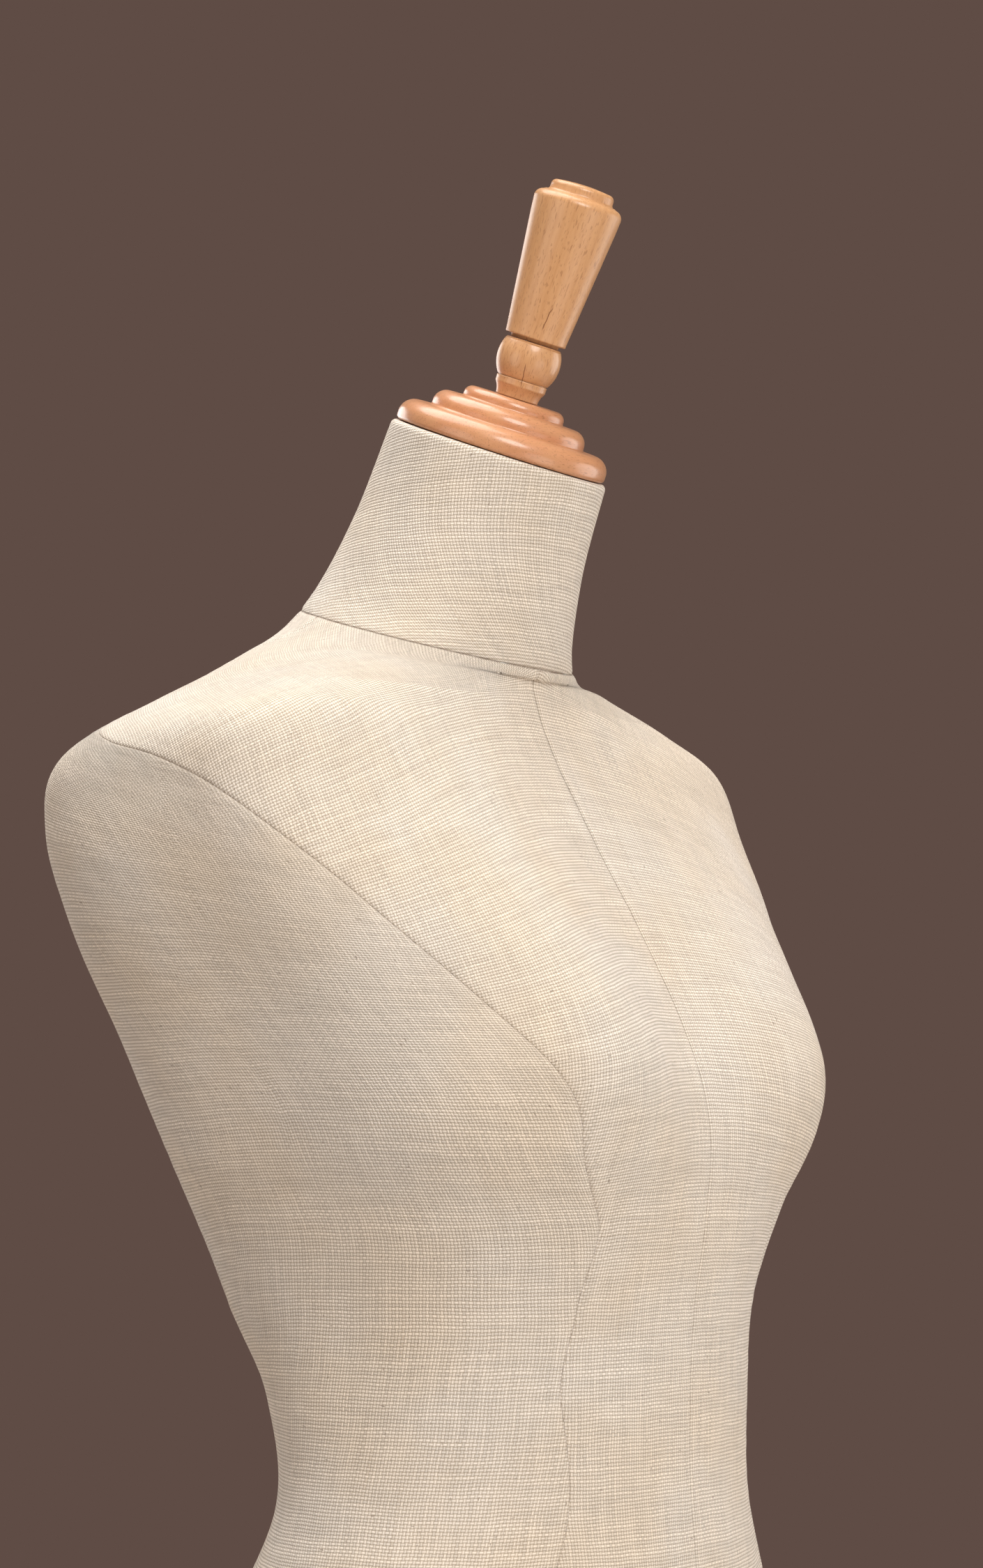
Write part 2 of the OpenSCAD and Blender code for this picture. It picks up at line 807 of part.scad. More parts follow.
cover_front_left();
cover_front_right();
cover_side_left();
cover_side_right();
cover_back_left();
cover_back_right();
neck_cover();
underside_cloth();
wadding_front();
wadding_back();
shell_front();
shell_back();
base_board();
board_screws();
neck_plug();
plug_screws();
neck_cap();
finial_ball();
finial_handle();
finial_stud();
stud_washer();
stud_nut();
socket_flange();
flange_bolts();
flange_nuts();
thrust_disc();
retaining_screw();
pole();
pole_end_plug();
column();
sleeve_tube();
guide_bush();
clamp_collar();
collar_screws();
pressure_pad();
clamp_screw();
clamp_knob();
leg_front();
leg_left();
leg_right();
leg_dowels();
bottom_button();
foot_front();
foot_left();
foot_right();
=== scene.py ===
"""Looks of a linen-covered dress form on a turned beech tripod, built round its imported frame.

The sidebar panel lists one button for each group of pieces. Run as a script, it makes them all.
"""

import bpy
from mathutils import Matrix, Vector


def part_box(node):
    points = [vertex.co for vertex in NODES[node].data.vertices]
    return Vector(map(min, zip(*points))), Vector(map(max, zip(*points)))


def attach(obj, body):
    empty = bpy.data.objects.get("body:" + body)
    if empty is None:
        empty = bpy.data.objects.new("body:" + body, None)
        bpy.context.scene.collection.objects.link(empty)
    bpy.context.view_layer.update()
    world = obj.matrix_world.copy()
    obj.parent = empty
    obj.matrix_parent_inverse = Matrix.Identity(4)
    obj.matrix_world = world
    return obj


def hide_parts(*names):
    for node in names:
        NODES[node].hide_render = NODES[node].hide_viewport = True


bl_info = {
    "name": "Dress form",
    "version": (1, 0, 0),
    "blender": (4, 5, 0),
    "location": "View3D > Sidebar > Dress form",
    "description": "Linen cover, turned beech, metalwork and stage of a dress form",
    "category": "Add Mesh",
}

import math

import bmesh
import bpy
import numpy as np
from mathutils import Matrix, Vector

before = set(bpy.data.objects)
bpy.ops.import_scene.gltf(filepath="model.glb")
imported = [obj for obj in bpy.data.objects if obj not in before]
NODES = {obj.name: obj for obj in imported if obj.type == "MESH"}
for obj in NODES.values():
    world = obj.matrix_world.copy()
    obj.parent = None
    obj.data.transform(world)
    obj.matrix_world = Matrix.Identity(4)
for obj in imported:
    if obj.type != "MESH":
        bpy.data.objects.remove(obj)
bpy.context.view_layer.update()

MM = 0.001
HEM_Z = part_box("cover_front_left")[0].z


# ---- Sizes and colours a user would change --------------------------------------------------------
class ClothSettings(bpy.types.PropertyGroup):
    """The linen, its weave and its seams."""

    pitch: bpy.props.FloatProperty(
        name="Thread pitch", description="Distance between neighbouring threads",
        default=1.55 * MM, min=0.8 * MM, max=3 * MM, unit="LENGTH", precision=5)
    thickness: bpy.props.FloatProperty(
        name="Cloth thickness", description="Thickness of the linen",
        default=0.8 * MM, min=0.4 * MM, max=1 * MM, unit="LENGTH", precision=5)
    seam_depth: bpy.props.FloatProperty(
        name="Seam depth", description="How far the cloth dips along a seam",
        default=0.45 * MM, min=0, max=1 * MM, unit="LENGTH", precision=5)
    pucker: bpy.props.FloatProperty(
        name="Pucker", description="Height of the small waves beside a seam",
        default=0.16 * MM, min=0, max=0.5 * MM, unit="LENGTH", precision=5)
    light: bpy.props.FloatVectorProperty(
        name="Thread colour", description="Colour of the raised threads",
        subtype="COLOR", size=3, min=0, max=1, default=(0.87, 0.80, 0.715))
    # The gap colour is painted shade: the hollows between the threads are darkened in the colour itself.
    dark: bpy.props.FloatVectorProperty(
        name="Gap colour", description="Colour between the threads",
        subtype="COLOR", size=3, min=0, max=1, default=(0.50, 0.425, 0.335))
    fleck: bpy.props.FloatVectorProperty(
        name="Fleck colour", description="Colour of the dark bast fibres",
        subtype="COLOR", size=3, min=0, max=1, default=(0.25, 0.19, 0.14))


class WoodSettings(bpy.types.PropertyGroup):
    """The lacquered beech."""

    tan: bpy.props.FloatVectorProperty(
        name="Wood colour", description="Colour of the wood between the grain lines",
        subtype="COLOR", size=3, min=0, max=1, default=(0.62, 0.335, 0.155))
    grain: bpy.props.FloatVectorProperty(
        name="Grain colour", description="Colour of the grain lines",
        subtype="COLOR", size=3, min=0, max=1, default=(0.49, 0.23, 0.092))
    pink: bpy.props.FloatVectorProperty(
        name="Cap colour", description="Colour of the pinker wood of the neck cap",
        subtype="COLOR", size=3, min=0, max=1, default=(0.60, 0.275, 0.135))
    fleck: bpy.props.FloatVectorProperty(
        name="Ray colour", description="Colour of the short brown rays",
        subtype="COLOR", size=3, min=0, max=1, default=(0.30, 0.125, 0.05))
    lacquer: bpy.props.FloatProperty(
        name="Lacquer", description="Strength of the clear coat",
        subtype="FACTOR", default=0.55, min=0, max=1)


class StageSettings(bpy.types.PropertyGroup):
    """The camera, floor and light."""

    azimuth: bpy.props.FloatProperty(
        name="Camera azimuth", description="Where the camera stands, from the front round to the left",
        unit="ROTATION", default=math.radians(-57.3))
    distance: bpy.props.FloatProperty(
        name="Camera distance", description="From the pole's axis to the camera",
        unit="LENGTH", default=1.722, min=1)
    height: bpy.props.FloatProperty(
        name="Camera height", description="Camera's height above the waist",
        unit="LENGTH", default=0.11)
    focal_length: bpy.props.FloatProperty(
        name="Focal length", description="Lens on a sensor 36 mm long", default=86.1, min=20, unit="CAMERA")
    yaw: bpy.props.FloatProperty(
        name="Camera yaw", description="How far the camera turns away from the axis",
        unit="ROTATION", default=math.radians(-0.03))
    pitch: bpy.props.FloatProperty(
        name="Camera pitch", description="How far the camera looks up",
        unit="ROTATION", default=math.radians(5.52))
    roll: bpy.props.FloatProperty(
        name="Camera roll", description="How far the camera leans about its own line of sight",
        unit="ROTATION", default=math.radians(-0.6))
    floor: bpy.props.FloatVectorProperty(
        name="Floor colour", description="Colour of the floor",
        subtype="COLOR", size=3, min=0, max=1, default=(0.66, 0.63, 0.60))
    surround: bpy.props.FloatVectorProperty(
        name="Surround colour", description="Colour of everything round the stage",
        subtype="COLOR", size=3, min=0, max=1, default=(0.1144, 0.0723, 0.0595))


# ---- The form's surface ---------------------------------------------------------------------------
# Rows from the hem up to the top of the neck, in millimetres and degrees: height from the waist,
# half width, depth in front, depth behind, y of the middle, forward tilt, roundness (2 is an
# ellipse, more is boxier). An angle of -90 is the centre front, -180 a side, -270 the centre back.
SECTIONS = np.array([
    [-230, 164, 102, 108, 0, 0, 2.0],  # hem
    [-170, 172, 107, 115, 0, 0, 2.0],  # hip
    [-102, 157, 102, 101, -3, 0, 2.1],  # upper hip
    [-46, 130, 96, 83, -6, 0, 2.2],  # below the waist
    [0, 123, 98, 87, -4, 0, 2.4],  # waist
    [40, 125, 105, 104, 0, 0, 2.5],  # lower ribs
    [80, 139, 111, 113, 0, 0, 2.8],  # ribs
    [116, 158, 110, 115, 0, 0, 3.2],  # under the bust
    [167, 180, 99, 115, 9, -2, 3.4],  # bust
    [215, 200, 87, 114, 19, -2, 3.7],  # chest
    [256, 208, 74, 110, 27, -5, 3.8],  # arm
    [287, 202, 63, 99, 30, -6, 4.0],  # top of the arm
    [308, 161, 53, 79, 26, -1, 3.5],  # shoulder
    [327, 107, 50, 76, 25, 6, 2.6],  # slope of the shoulder
    [342, 70, 51, 72, 20, 17, 2.1],  # foot of the neck
    [387, 55, 53, 57, 9, 20, 2.0],  # neck
    [430, 52, 52, 52, -7, 22, 2.0],  # top of the neck
])
WAIST_Z = HEM_Z - SECTIONS[0, 0] * MM
WAIST_U = 4
TIP_U = 12.2
NECK_U = 14
TOP_U = 16
# Distances along the neck's seam start here in the seam map, which sets it apart.
NECK_RUN = 10
CENTRE_FRONT = -90
CENTRE_BACK = -270

BUST_DEPTH = 27
BUST_X = 93
BUST_Z = 152
BUST_WIDTH = 67
BUST_RISE = 81
BUST_FALL = 44
BUST_SOFTEN = 20

# Seams: section number, and how far the point lies behind the side's middle in the section (less
# than 0 is in front of it), in millimetres.
FRONT_SEAM = [(0, -84), (2, -80), (4, -81), (5, -91), (6, -102), (7, -100), (8, -84), (9, -64),
              (10, -27), (10.6, 5), (11, 33), (11.5, 57), (12.2, 66)]
BACK_SEAM = [(0, 90), (4, 74), (8, 98), (10.5, 89), (12.2, 66)]
SHOULDER_SEAM = [(12.2, 66), (13.1, 52), (14, 34), (16, 22)]


def section(u):
    """The section's seven values at u: the Catmull-Rom cubic through the rows before, at and after."""
    i = np.clip(np.floor(u).astype(int), 0, len(SECTIONS) - 2)
    w = (u - i)[..., None]
    a, b, c, d = (SECTIONS[np.clip(i + k, 0, len(SECTIONS) - 1)] for k in (-1, 0, 1, 2))
    return 0.5 * (2 * b + (c - a) * w + (2 * a - 5 * b + 4 * c - d) * w**2
                  + (3 * b - a - 3 * c + d) * w**3)


def body_point(u, degrees):
    """The outer surface, in metres. In a section, x is the half width times cos to the power 2/n, and
    the depth is the front's or back's depth times sin to the same power, laid along the section's
    tilt. The bust adds a bell in x and z to the front, with a longer slope above than below."""
    height, wide, front, back, middle, tilt, roundness = np.moveaxis(section(u), -1, 0)
    t, tilt = np.radians(degrees), np.radians(tilt)
    cos, sin = np.cos(t), np.sin(t)
    x = wide * np.sign(cos) * np.abs(cos) ** (2 / roundness)
    depth = np.where(sin < 0, front, back) * np.sign(sin) * np.abs(sin) ** (2 / roundness)
    z = height + depth * np.sin(tilt)
    across = (np.sqrt(x**2 + BUST_SOFTEN**2) - BUST_X) / BUST_WIDTH
    up = (z - BUST_Z) / np.where(z > BUST_Z, BUST_RISE, BUST_FALL)
    bust = BUST_DEPTH * np.exp(-across**2 - up**2) * np.clip(-sin, 0, 1)
    y = middle + depth * np.cos(tilt) - bust
    return np.stack([x, y, z], -1) * MM + np.array([0, 0, WAIST_Z])


def body_normal(u, degrees):
    """Outward unit normal: the cross product of the steps a little up and a little round."""
    low, high = np.clip(u - 0.04, 0, TOP_U), np.clip(u + 0.04, 0, TOP_U)
    up = body_point(high, degrees) - body_point(low, degrees)
    along = body_point(u, degrees - 0.6) - body_point(u, degrees + 0.6)
    n = np.cross(up, along)
    return n / np.linalg.norm(n, axis=-1, keepdims=True)


def curve_through(points, x):
    """A smooth curve through points, without overshoot: cubic pieces whose slope at a point is the
    harmonic mean of its neighbours' slopes, or level where they differ in sign."""
    px, py = np.array(points, float).T
    h = np.diff(px)
    s = np.diff(py) / h
    inner = np.where(s[:-1] * s[1:] > 0, 2 * s[:-1] * s[1:] / (s[:-1] + s[1:] + 1e-12), 0)
    m = np.concatenate([[s[0]], inner, [s[-1]]])
    x = np.clip(x, px[0], px[-1])
    i = np.clip(np.searchsorted(px, x, side="right") - 1, 0, len(px) - 2)
    t = (x - px[i]) / h[i]
    return (py[i] * (2 * t**3 - 3 * t**2 + 1) + m[i] * h[i] * (t**3 - 2 * t**2 + t)
            + py[i + 1] * (3 * t**2 - 2 * t**3) + m[i + 1] * h[i] * (t**3 - t**2))


def seam_angle(points, u):
    """Angle at which a seam crosses a section: the half turn at the side, plus or minus the arc sine of
    its share of the section's depth to the power n/2. Above the tip all seams are the shoulder's."""
    depth = np.where(u < TIP_U, curve_through(points, u), curve_through(SHOULDER_SEAM, u))
    _, _, front, back, _, _, roundness = np.moveaxis(section(u), -1, 0)
    share = np.clip(abs(depth) / np.where(depth < 0, front, back), 0, 1) ** (roundness / 2)
    return -180 - np.sign(depth) * np.degrees(np.arcsin(share))


def front_seam(u):
    """The seam that leaves the hem, crosses the bust and ends at the neck."""
    return seam_angle(FRONT_SEAM, u)


def back_seam(u):
    """The seam that leaves the hem, crosses the shoulder blade and ends at the neck."""
    return seam_angle(BACK_SEAM, u)


def smooth(a, b, x):
    """0 below a, 1 above b, and smooth between."""
    k = np.clip((x - a) / (b - a), 0, 1)
    return k * k * (3 - 2 * k)


def waves(s, across, seed, lengths):
    """Irregular waves along s, each length with its own phase and lean across."""
    rng = np.random.default_rng(seed)
    total = np.zeros(np.broadcast(s, across).shape)
    for length in lengths:
        phase, lean, strength = rng.uniform(0, 2 * np.pi), rng.uniform(-0.8, 0.8), rng.uniform(0.6, 1)
        total += strength * np.sin(2 * np.pi * (s + lean * across) / length + phase)
    return total / len(lengths)


def arc_length(points, axis):
    """Distance run along rows (axis 1) or columns (axis 0) of a grid of points."""
    step = np.linalg.norm(np.diff(points, axis=axis), axis=-1)
    pad = [(0, 0), (0, 0)]
    pad[axis] = (1, 0)
    return np.pad(np.cumsum(step, axis=axis), pad)


# ---- Meshes from grids ----------------------------------------------------------------------------
def grid_faces(rows, columns, closed):
    """Quads between neighbouring rows and columns, wound so that they face out where the columns run
    clockwise seen from above and the rows run up."""
    i, j = np.meshgrid(np.arange(rows - 1), np.arange(columns if closed else columns - 1), indexing="ij")
    k = (j + 1) % columns
    return np.stack([i * columns + j, (i + 1) * columns + j, (i + 1) * columns + k, i * columns + k],
                    -1).reshape(-1, 4)


def make_mesh(name, points, faces, maps=None, smooth_faces=True):
    """A mesh object from points (n, 3), faces (m, 4) and named per-point UV maps (n, 2). Points that
    fall together, as at a pole, are merged."""
    mesh = bpy.data.meshes.new(name)
    mesh.from_pydata(points.tolist(), [], faces.tolist())
    corner_points = np.zeros(len(mesh.loops), np.int32)
    mesh.loops.foreach_get("vertex_index", corner_points)
    for map_name, values in (maps or {}).items():
        layer = mesh.uv_layers.new(name=map_name)
        layer.data.foreach_set("uv", values[corner_points].astype(np.float32).ravel())
    work = bmesh.new()
    work.from_mesh(mesh)
    bmesh.ops.remove_doubles(work, verts=work.verts, dist=1e-6)
    bmesh.ops.dissolve_degenerate(work, edges=work.edges, dist=1e-7)
    work.to_mesh(mesh)
    work.free()
    mesh.polygons.foreach_set("use_smooth", [smooth_faces] * len(mesh.polygons))
    mesh.update()
    piece = bpy.data.objects.new(name, mesh)
    bpy.context.scene.collection.objects.link(piece)
    return piece


def thicken(piece, thickness):
    """Gives a skin its thickness, inwards."""
    modifier = piece.modifiers.new("Thickness", "SOLIDIFY")
    modifier.thickness = thickness
    modifier.offset = -1
    modifier.use_even_offset = False
    modifier.use_rim = True


def finish_piece(piece, material, body, slot, *nodes):
    """Puts the material on a piece, hides the nodes that it stands for, and sets it on its body."""
    piece.data.materials.clear()
    piece.data.materials.append(material)
    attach(piece, body)
    if nodes:
        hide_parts(*nodes)
    return piece


def profile_mesh(name, profile, to_place, segments=120):
    """A turned piece: the profile (r, z), run from the bottom of the axis to its top, carried round Z
    in equal steps, then placed by the matrix."""
    profile = np.array(profile, float)
    turn = -2 * np.pi * np.arange(segments) / segments
    r, z = profile[:, 0, None], profile[:, 1, None]
    points = np.stack([r * np.cos(turn), r * np.sin(turn), z + 0 * turn], -1).reshape(-1, 3)
    m = np.array(to_place)
    points = points @ m[:3, :3].T + m[:3, 3]
    return make_mesh(name, points, grid_faces(len(profile), segments, True))


def arc(r, z, radius, start, end, steps=8):
    """Points (r, z) of an arc round a centre, from one angle to another in degrees."""
    a = np.radians(np.linspace(start, end, steps + 1))
    return list(zip(r + radius * np.cos(a), z + radius * np.sin(a)))


def straight(a, b, steps):
    """Points on a straight line, without its last."""
    return [(a[0] + (b[0] - a[0]) * k / steps, a[1] + (b[1] - a[1]) * k / steps) for k in range(steps)]


# ---- Shaders --------------------------------------------------------------------------------------
class Link:
    """A socket that stands in Python expressions: a sum or product adds its Math node."""

    def __init__(self, shade, socket):
        self.shade, self.socket = shade, socket

    def math(self, operation, *others):
        return self.shade.math(operation, self, *others)

    def __add__(self, other):
        return self.math("ADD", other)

    def __sub__(self, other):
        return self.math("SUBTRACT", other)

    def __mul__(self, other):
        return self.math("MULTIPLY", other)

    def __pow__(self, other):
        return self.math("POWER", other)

    def __radd__(self, other):
        return self.math("ADD", other)

    def __rmul__(self, other):
        return self.math("MULTIPLY", other)

    def __rsub__(self, other):
        return self.shade.math("SUBTRACT", other, self)

    def __abs__(self):
        return self.math("ABSOLUTE")


class Shade:
    """One material's node tree and the ways to add to it."""

    def __init__(self, name):
        self.material = bpy.data.materials.new(name)
        self.material.use_nodes = True
        self.tree = self.material.node_tree
        self.tree.nodes.clear()

    def node(self, kind, settings=(), inputs=(), output=0):
        """Adds a node: its settings first (a ramp's stops under "stops"), then its sockets."""
        made = self.tree.nodes.new(kind)
        for key, value in dict(settings).items():
            if key == "stops":
                self.set_stops(made.color_ramp, value)
            else:
                setattr(made, key, value)
        for key, value in dict(inputs).items():
            if isinstance(value, Link):
                self.tree.links.new(value.socket, made.inputs[key])
            else:
                made.inputs[key].default_value = value
        return Link(self, made.outputs[output]) if len(made.outputs) else None

    @staticmethod
    def set_stops(ramp, stops):
        while len(ramp.elements) < len(stops):
            ramp.elements.new(1)
        for element, (place, colour) in zip(ramp.elements, stops):
            element.position = place
            element.color = (*colour, 1) if len(colour) == 3 else colour

    def math(self, operation, *values):
        return self.node("ShaderNodeMath", {"operation": operation}, dict(enumerate(values)))

    def clamp(self, value):
        return self.node("ShaderNodeClamp", (), {"Value": value})

    def step(self, value, low, high):
        """0 below low, 1 above high, smooth between."""
        return self.node("ShaderNodeMapRange", {"interpolation_type": "SMOOTHSTEP"},
                         {"Value": value, "From Min": low, "From Max": high})

    def mix(self, factor, a, b, blend="MIX"):
        """Mixes two colours."""
        colour = [(*c, 1) if isinstance(c, tuple) and len(c) == 3 else c for c in (a, b)]
        return self.node("ShaderNodeMix", {"data_type": "RGBA", "blend_type": blend},
                         {0: factor, 6: colour[0], 7: colour[1]}, output=2)

    def object_point(self):
        return self.node("ShaderNodeTexCoord", output=3)

    def uv(self, name):
        return self.node("ShaderNodeUVMap", {"uv_map": name})

    def place(self, vector, location=(0, 0, 0), rotation=(0, 0, 0), scale=(1, 1, 1)):
        return self.node("ShaderNodeMapping", (), {
            "Vector": vector, "Location": location, "Rotation": rotation, "Scale": scale})

    def split(self, vector):
        made = self.tree.nodes.new("ShaderNodeSeparateXYZ")
        self.tree.links.new(vector.socket, made.inputs[0])
        return [Link(self, made.outputs[i]) for i in range(3)]

    def join(self, x, y, z=0.0):
        return self.node("ShaderNodeCombineXYZ", (), {0: x, 1: y, 2: z})

    def noise(self, vector, scale, detail=2.0, roughness=0.5):
        return self.node("ShaderNodeTexNoise", (), {
            "Vector": vector, "Scale": scale, "Detail": detail, "Roughness": roughness})

    def bump(self, height, distance, strength=1.0, normal=None):
        inputs = {"Height": height, "Distance": distance, "Strength": strength}
        if normal is not None:
            inputs["Normal"] = normal
        return self.node("ShaderNodeBump", (), inputs)

    def surface(self, **inputs):
        """Ends the tree in a Principled shader. Underscores stand for spaces in socket names."""
        values = {key.replace("_", " "): (*v, 1) if isinstance(v, tuple) and len(v) == 3 else v
                  for key, v in inputs.items()}
        shader = self.node("ShaderNodeBsdfPrincipled", (), values)
        self.node("ShaderNodeOutputMaterial", (), {"Surface": shader})
        return self.material


def linen_material(name):
    """Coarse plain weave. The height of a thread is a half sine across it, and the product of the two
    sines says which thread is on top. Threads wander and swell, slubs run along them, and dark bast
    fibres lie scattered. The second map gives the distance to the nearest seam and along it."""
    cloth = bpy.context.scene.form_cloth
    s = Shade(name)
    coordinates = s.uv("cloth")
    wander = s.noise(coordinates, 55, 2)
    across, up, _ = s.split(coordinates)
    x = across * (1 / cloth.pitch) + (wander - 0.5) * 1.1
    y = up * (1 / cloth.pitch) + (s.noise(coordinates, 38, 2) - 0.5) * 1.1
    sin_x, sin_y = (x * math.pi).math("SINE"), (y * math.pi).math("SINE")
    over = sin_x * sin_y
    weft = abs(sin_y) ** 0.7 * (over * 0.34 + 0.66)
    warp = abs(sin_x) ** 0.7 * (0.54 - over * 0.36)
    thread = weft.math("MAXIMUM", warp)
    weft_is_top = s.step(weft - warp, -0.1, 0.1)

    weft_tone = s.noise(s.join(across * 28, y.math("FLOOR") * 7.3), 1, 2)
    warp_tone = s.noise(s.join(x.math("FLOOR") * 5.7, up * 30), 1, 2)
    warp_grey = s.join(warp_tone, warp_tone, warp_tone)
    weft_grey = s.join(weft_tone, weft_tone, weft_tone)
    tone = s.mix(weft_is_top, warp_grey, weft_grey)
    tone_value, _, _ = s.split(tone)
    weft_slub = s.step(s.noise(s.join(across * 11, y * 0.9), 1, 1), 0.66, 0.80)
    warp_slub = s.step(s.noise(s.join(x * 0.9, up * 13, 4.0), 1, 1), 0.68, 0.82)
    slub = s.clamp(weft_slub * weft_is_top + warp_slub * (1 - weft_is_top))
    height = thread + slub * 0.25 + (tone_value - 0.5) * 0.35

    cloud = s.noise(s.object_point(), 14, 3)
    # Painted shade in the weave: the colour runs from the thread colour on the raised threads to the darker
    # gap colour where a thread sinks between its neighbours.
    lit = s.step(thread, 0.28, 0.88)
    colour = s.mix(lit, tuple(cloth.dark), tuple(cloth.light))
    shade = s.step(tone_value, 0.25, 0.75) * 0.26 + 0.84
    colour = s.mix(1.0, colour, s.join(shade, shade, shade), "MULTIPLY")
    colour = s.mix(slub * 0.28, colour, (0.52, 0.40, 0.25))
    warmth = s.step(cloud, 0.3, 0.7)
    colour = s.mix(warmth, colour, s.mix(1.0, colour, (1.0, 0.955, 0.89), "MULTIPLY"))

    fibres = s.noise(s.join(across * 620, up * 260), 1, 1)
    specks = s.noise(s.join(across * 170, up * 520, 9.0), 1, 1)
    fleck = s.clamp(s.step(fibres, 0.735, 0.79) + s.step(specks, 0.755, 0.80))
    colour = s.mix(fleck * 0.62, colour, tuple(cloth.fleck))

    distance, along, _ = s.split(s.uv("seam"))
    stitch = s.step((along * (2 * math.pi / (3.4 * MM))).math("SINE"), -0.2, 0.9)
    uneven = s.step(s.noise(s.join(along * 120, 0.0), 1, 1), 0.38, 0.66)
    at_neck = along.math("GREATER_THAN", NECK_RUN / 2)
    # Painted shade: a thin dark line along each seam's crease, broken into stitch dashes, and steadier and
    # wider along the neck's seam and the underside's stitching.
    seam_crease_shade = 1 - s.step(distance, 0.1 * MM, at_neck * 0.3 * MM + 0.6 * MM)
    seam_crease_shade = seam_crease_shade * (at_neck * 0.45 + uneven * (stitch * 0.65 + 0.35) * 0.5 + 0.05)
    colour = s.mix(seam_crease_shade * 0.75, colour, (0.24, 0.17, 0.115))
    normal = s.bump(height, 0.42 * MM)
    return s.surface(Base_Color=colour, Roughness=0.93, Normal=normal, Specular_IOR_Level=0.25,
                     Sheen_Weight=0.12, Sheen_Roughness=0.45)


def beech_material(name, centre=(0, 0, 0), tilt=0.0, flat_sawn=False, pith=(0.05, 0.03), crack=None,
                   gloss=1.0):
    """Lacquered beech. Growth rings are waves of the distance from a pith beside the piece; grain and
    rays are noise drawn out along it. flat_sawn turns the grain to run across the piece's axis, and
    gloss scales the clear coat. A crack is a point, the direction across it and its lean."""
    wood = bpy.context.scene.form_wood
    s = Shade(name)
    local = s.place(s.place(s.object_point(), location=tuple(-c for c in centre)), rotation=(-tilt, 0, 0))
    grain = s.place(local, rotation=(0, math.radians(90), math.radians(35))) if flat_sawn else local
    bent = s.noise(s.place(grain, scale=(1, 1, 0.18)), 22, 2)
    x, y, z = s.split(grain)
    radius = ((x + pith[0]) ** 2 + (y + pith[1]) ** 2) ** 0.5
    rings = (((radius + bent * 0.006) * (2 * math.pi / 0.0034)).math("SINE") * 0.5 + 0.5) ** 2.2
    streak = s.noise(s.place(grain, scale=(1, 1, 0.03)), 1100, 3, 0.6)
    broad = s.noise(s.place(grain, scale=(1, 1, 0.10)), 75, 2)
    base = tuple(wood.pink) if flat_sawn else tuple(wood.tan)
    colour = s.mix(rings * 0.22, base, tuple(wood.grain))
    colour = s.mix(s.step(streak, 0.40, 0.72) * 0.34, colour, tuple(wood.grain))
    colour = s.mix(s.step(broad, 0.45, 0.75) * 0.22, colour, (0.72, 0.42, 0.22))
    rays = s.noise(s.place(grain, scale=(1, 0.6, 0.17)), 2300, 0)
    marks = s.noise(s.place(grain, scale=(1, 1, 0.14)), 1250, 0)
    ray = s.clamp(s.step(rays, 0.66, 0.74) * 0.75 + s.step(marks, 0.72, 0.78))
    colour = s.mix(ray * 0.48, colour, tuple(wood.fleck))
    height = (streak - 0.5) * 0.4 - ray * 0.5
    if crack:
        px, py, pz = s.split(s.place(local, location=tuple(-c for c in crack[0])))
        wobble = (s.noise(local, 260, 1) - 0.5) * 1.1 * MM
        line = abs(px * math.cos(crack[1]) + py * math.sin(crack[1]) + pz * crack[2] + wobble)
        length = (px**2 + py**2 + pz**2) ** 0.5
        split_line = (1 - s.step(line, 0.08 * MM, 0.30 * MM)) * (1 - s.step(length, 4 * MM, 6.5 * MM))
        colour = s.mix(split_line * 0.85, colour, (0.20, 0.07, 0.02))
        height = height - split_line * 3
    wear = s.noise(s.object_point(), 35, 3)
    normal = s.bump(height, 0.035 * MM)
    return s.surface(Base_Color=colour, Roughness=s.step(wear, 0.3, 0.8) * 0.14 + 0.34, Normal=normal,
                     Specular_IOR_Level=0.4, Coat_Weight=wood.lacquer * gloss, Coat_Roughness=0.17)


def metal_material(name, colour, roughness, scratch_scale=(1, 1, 1), stain=(0.3, 0.3, 0.3), amount=0.3):
    """Bare or plated metal: fine scratches drawn out along one axis, and soft stains."""
    s = Shade(name)
    point = s.object_point()
    scratch = s.noise(s.place(point, scale=scratch_scale), 1800, 2)
    cloud = s.noise(point, 60, 4, 0.6)
    tint = s.mix(s.step(cloud, 0.45, 0.75) * amount, colour, stain)
    rough = s.step(scratch, 0.3, 0.7) * 0.16 + s.step(cloud, 0.4, 0.8) * 0.12 + (roughness - 0.1)
    return s.surface(Base_Color=tint, Metallic=1.0, Roughness=rough,
                     Normal=s.bump(scratch, 0.02 * MM))


def plain_material(name, colour, other, scale, roughness, bump_scale, bump_height, squash=(1, 1, 1)):
    """A dull material of two mottled tones with a fine texture."""
    s = Shade(name)
    point = s.place(s.object_point(), scale=squash)
    mottle = s.noise(point, scale, 4, 0.6)
    texture = s.noise(point, bump_scale, 3, 0.6)
    return s.surface(Base_Color=s.mix(s.step(mottle, 0.3, 0.7), colour, other),
                     Roughness=s.step(texture, 0.2, 0.8) * 0.12 + roughness,
                     Normal=s.bump(texture, bump_height))


# ---- Cover ----------------------------------------------------------------------------------------
def edge_steps(count, fine):
    """Places from 0 to 1, close together near both ends: the integral of a density that is 1 in the
    middle and rises to fine at the ends."""
    k = np.linspace(0, 1, 2001)
    density = 1 + (fine - 1) * (np.exp(-k / 0.03) + np.exp(-(1 - k) / 0.03))
    run = np.concatenate([[0], np.cumsum((density[1:] + density[:-1]) / 2)])
    return np.interp(np.linspace(0, run[-1], count + 1), run, k)


